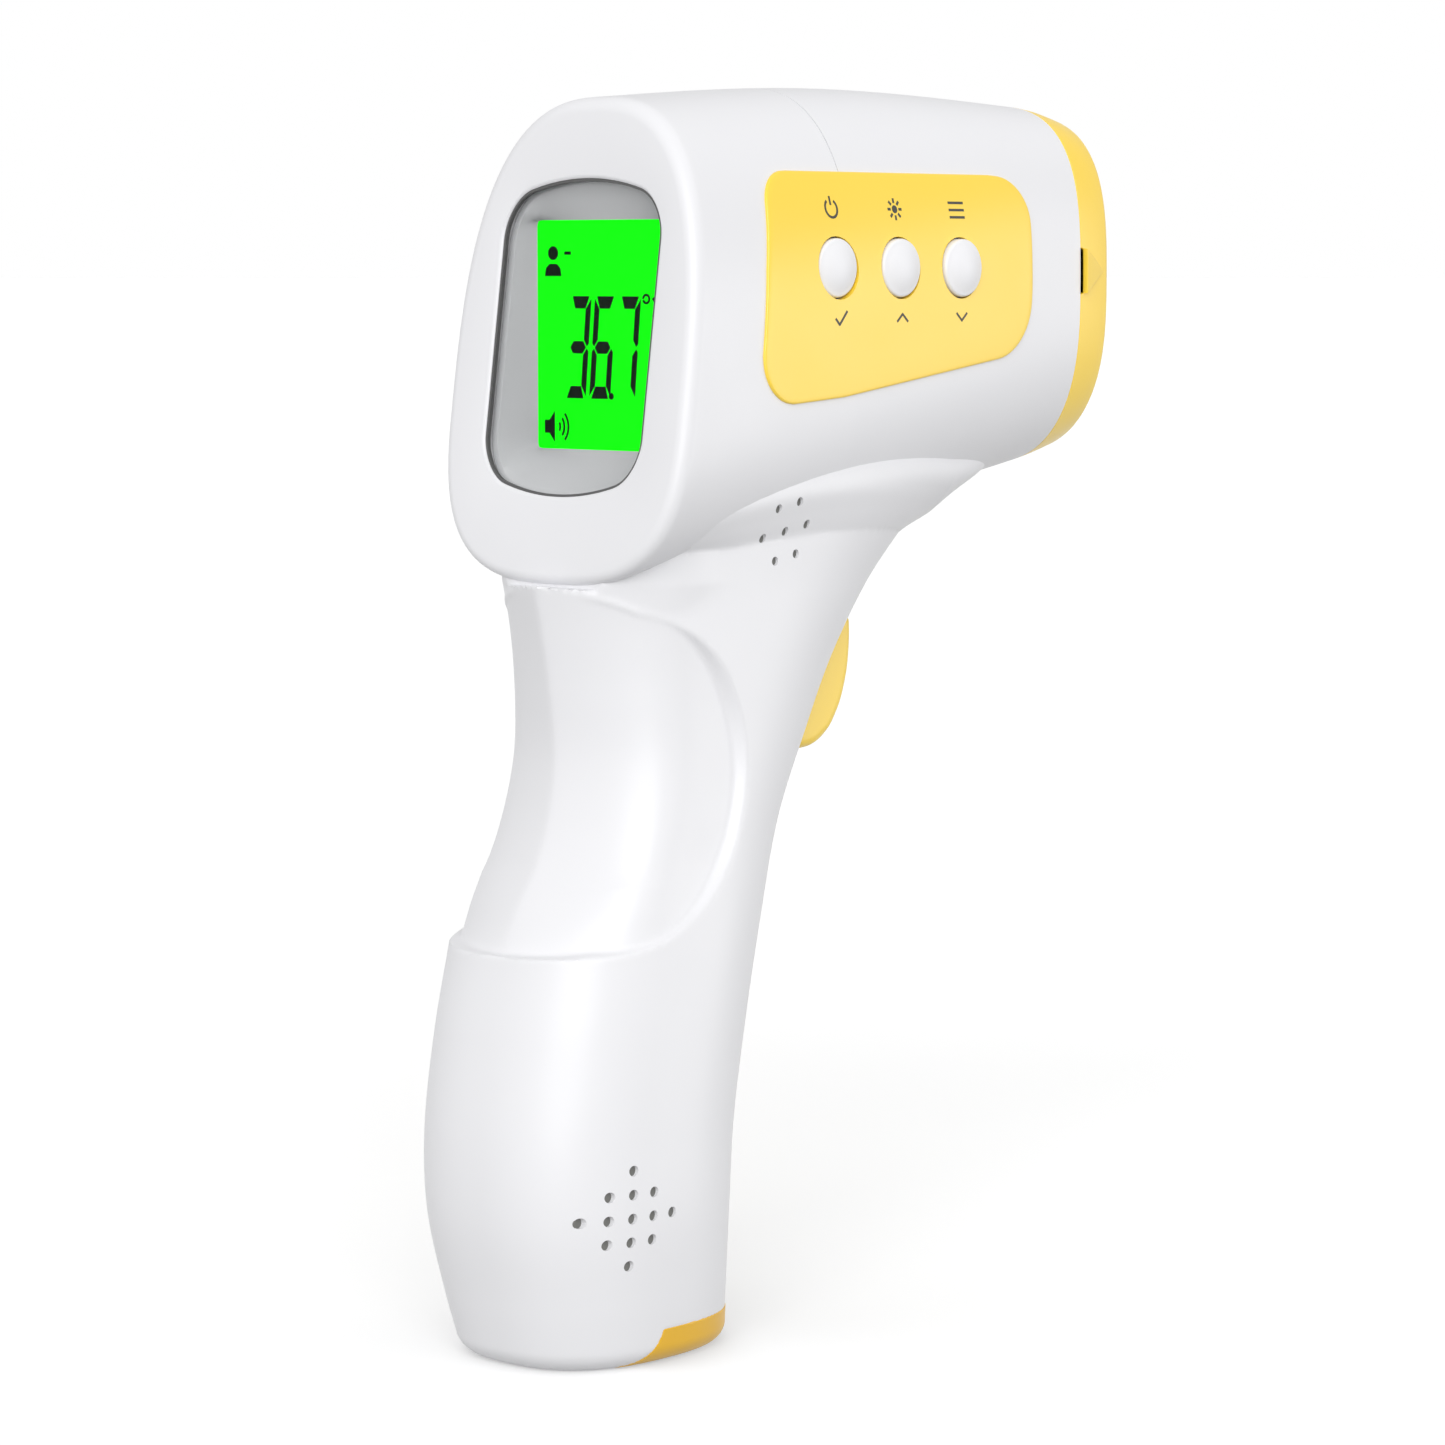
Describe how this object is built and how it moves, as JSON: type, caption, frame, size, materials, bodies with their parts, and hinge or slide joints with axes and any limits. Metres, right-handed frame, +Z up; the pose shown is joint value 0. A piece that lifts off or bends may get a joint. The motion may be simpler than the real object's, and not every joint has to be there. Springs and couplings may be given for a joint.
{
  "type": "infrared thermometer",
  "caption": "Pistol-grip contactless infrared thermometer with a rear display, side keys, front trigger and a battery door in the grip.",
  "frame": {"origin": "on the floor, under the middle of the overall box", "axes": "+Z up along the grip, +X out of the sensor nose, keys on the -Y side"},
  "size_m": [0.1027, 0.0404, 0.154],
  "materials": {
    "white_plastic": "satin",
    "yellow_plastic": "satin",
    "key_plastic": "gloss",
    "grey_plastic": "matte",
    "dark_plastic": "matte",
    "lens": "gloss",
    "display": "gloss",
    "light_guide": "gloss",
    "circuit_board": "satin",
    "steel": "brushed",
    "light_metal": "satin",
    "contact_metal": "satin",
    "filter": "gloss"
  },
  "bodies": {
    "case": {"housing_right": "white_plastic", "housing_left": "white_plastic", "front_barrel": "white_plastic", "nose_ring": "yellow_plastic", "display_bezel": "white_plastic", "display_lens": "lens", "display_well": "grey_plastic", "lcd_panel": "display", "backlight_plate": "light_guide", "main_board": "circuit_board", "board_components": "dark_plastic", "board_screws": "steel", "button_panel": "yellow_plastic", "side_panel_left": "yellow_plastic", "key_board": "circuit_board", "key_switches": "dark_plastic", "ribbon_cable": "dark_plastic", "trigger_pin": "steel", "trigger_switch": "dark_plastic", "door_hinge_pin": "steel", "base_toe": "yellow_plastic", "battery_tray": "dark_plastic", "battery_can": "steel", "battery_cells": "light_metal", "battery_terminals": "contact_metal", "battery_snap": "dark_plastic", "speaker_frame": "steel", "speaker_cone": "dark_plastic", "buzzer": "dark_plastic", "sensor_hood": "dark_plastic", "sensor_barrel": "light_metal", "thermopile_can": "light_metal", "sensor_window": "filter", "housing_screws": "steel"},
    "mode_key": {"mode_button": "key_plastic"},
    "set_key": {"set_button": "key_plastic"},
    "memory_key": {"memory_button": "key_plastic"},
    "trigger_lever": {"trigger": "yellow_plastic", "trigger_spring": "steel"},
    "door": {"battery_door": "yellow_plastic"}
  },
  "joints": [
    {"name": "mode_press", "type": "slide", "parent": "case", "child": "mode_key", "axis": [0, 1, 0], "range_m": [0, 0.0006], "stiffness_N_per_m": 1500, "springref_m": -0.0004},
    {"name": "set_press", "type": "slide", "parent": "case", "child": "set_key", "axis": [0, 1, 0], "range_m": [0, 0.0006], "stiffness_N_per_m": 1500, "springref_m": -0.0004},
    {"name": "memory_press", "type": "slide", "parent": "case", "child": "memory_key", "axis": [0, 1, 0], "range_m": [0, 0.0006], "stiffness_N_per_m": 1500, "springref_m": -0.0004},
    {"name": "trigger_pull", "type": "hinge", "parent": "case", "child": "trigger_lever", "pos_m": [0.0066, 0, 0.092], "axis": [0, 1, 0], "range_deg": [0, 6], "stiffness_Nm_per_rad": 0.4, "springref_deg": -2.86},
    {"name": "door_swing", "type": "hinge", "parent": "case", "child": "door", "pos_m": [-0.0178, 0, 0.0096], "axis": [0, 1, 0], "range_deg": [0, 70]}
  ]
}
